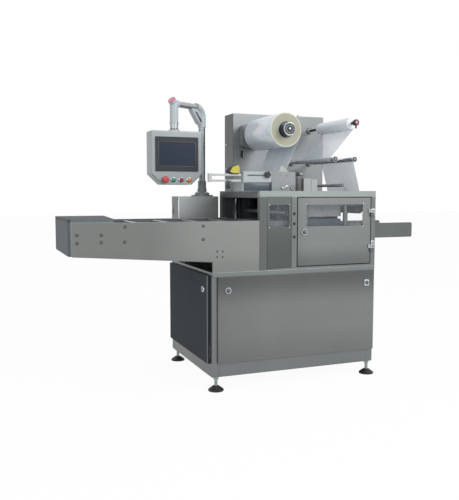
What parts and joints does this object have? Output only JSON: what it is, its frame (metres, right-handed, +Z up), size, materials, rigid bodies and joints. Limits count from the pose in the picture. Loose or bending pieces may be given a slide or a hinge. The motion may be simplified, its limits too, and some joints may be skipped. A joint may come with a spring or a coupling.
{
  "type": "vacuum tray sealer",
  "caption": "Stainless tray sealing machine with a chain infeed, glazed sealing cabinet, overhead film reels, a short outfeed and a swivelling control pendant",
  "frame": {"origin": "middle of the bounding box in plan, at floor level", "axes": "+X is the way the trays travel, +Y goes from the operator's side into the machine, +Z is up"},
  "size_m": [2.11, 0.7998, 1.6642],
  "materials": {
    "stainless": "satin",
    "stainless_dark": "satin",
    "chrome": "polished",
    "aluminium": "satin",
    "casting_grey": "gloss",
    "rubber": "matte",
    "black_plastic": "matte",
    "screen": "gloss",
    "red_plastic": "gloss",
    "clear_sheet": "gloss",
    "film": "gloss",
    "carrier": "matte",
    "yellow_plastic": "gloss",
    "pale_paint": "satin"
  },
  "bodies": {
    "root": {"base_posts": "stainless", "base_rails": "stainless", "deck_plate": "stainless", "lower_front_panel": "stainless", "lower_panel_locks": "chrome", "lower_panels": "stainless", "levelling_feet": "rubber", "upper_front_frame": "stainless", "upper_left_frame": "stainless", "upper_panels": "stainless", "top_plate": "stainless", "narrow_panel": "stainless", "narrow_window": "clear_sheet", "frame_hinges": "chrome", "infeed_side_plates": "stainless", "infeed_bottom_pan": "stainless", "infeed_end_cover": "stainless", "carrier_chains": "carrier", "cross_bars": "stainless", "tray_bed": "carrier", "outfeed_side_plates": "stainless", "outfeed_belt": "carrier", "control_box": "stainless", "post_socket": "casting_grey", "arm_post": "chrome", "film_housing": "stainless", "spindle_brackets": "aluminium", "film_webs": "clear_sheet", "coder_body": "pale_paint", "coder_knob": "black_plastic", "coder_slide": "aluminium", "film_sensor": "yellow_plastic", "air_valves": "pale_paint", "press_frame": "aluminium", "sealing_head": "stainless_dark", "lower_mould": "aluminium"},
    "front_door": {"front_door": "stainless", "door_window": "clear_sheet", "door_lock": "chrome", "door_hinges": "chrome"},
    "left_door": {"left_door": "stainless_dark", "left_door_lock": "chrome"},
    "arm": {"arm_head": "casting_grey", "arm_tube": "chrome", "arm_elbow": "casting_grey", "arm_cap": "red_plastic"},
    "pendant": {"pendant_coupling": "aluminium", "pendant_housing": "stainless", "hmi_bezel": "black_plastic", "hmi_screen": "screen", "push_buttons": "red_plastic"},
    "film_reel": {"film_mandrel": "aluminium", "film_roll": "film"},
    "waste_reel": {"waste_spindle": "black_plastic", "waste_roll": "film"},
    "roller_left": {"guide_roller_left": "chrome"},
    "roller_right": {"guide_roller_right": "chrome"},
    "roller_low": {"guide_roller_low": "chrome"}
  },
  "joints": [
    {"name": "front_door_hinge", "type": "hinge", "parent": "root", "child": "front_door", "pos_m": [0.7005, -0.392, 0.763], "axis": [0, 0, 1], "range_deg": [0, 110]},
    {"name": "left_door_hinge", "type": "hinge", "parent": "root", "child": "left_door", "pos_m": [-0.304, 0.385, 0.3], "axis": [0, 0, -1], "range_deg": [0, 100]},
    {"name": "arm_swing", "type": "hinge", "parent": "root", "child": "arm", "pos_m": [-0.111, 0.315, 1.504], "axis": [0, 0, 1], "range_deg": [-90, 20]},
    {"name": "pendant_swivel", "type": "hinge", "parent": "arm", "child": "pendant", "pos_m": [-0.33778, 0.17219, 1.515], "axis": [0, 0, 1], "range_deg": [-45, 45]},
    {"name": "film_reel_spin", "type": "hinge", "parent": "root", "child": "film_reel", "pos_m": [0.189, -0.285, 1.448], "axis": [0, 1, 0], "continuous": true},
    {"name": "waste_reel_spin", "type": "hinge", "parent": "root", "child": "waste_reel", "pos_m": [0.623, -0.285, 1.5], "axis": [0, 1, 0], "continuous": true},
    {"name": "roller_left_spin", "type": "hinge", "parent": "root", "child": "roller_left", "pos_m": [0.49, -0.285, 1.286], "axis": [0, 1, 0], "continuous": true},
    {"name": "roller_right_spin", "type": "hinge", "parent": "root", "child": "roller_right", "pos_m": [0.621, -0.285, 1.286], "axis": [0, 1, 0], "continuous": true},
    {"name": "roller_low_spin", "type": "hinge", "parent": "root", "child": "roller_low", "pos_m": [0.539, -0.285, 1.133], "axis": [0, 1, 0], "continuous": true}
  ]
}
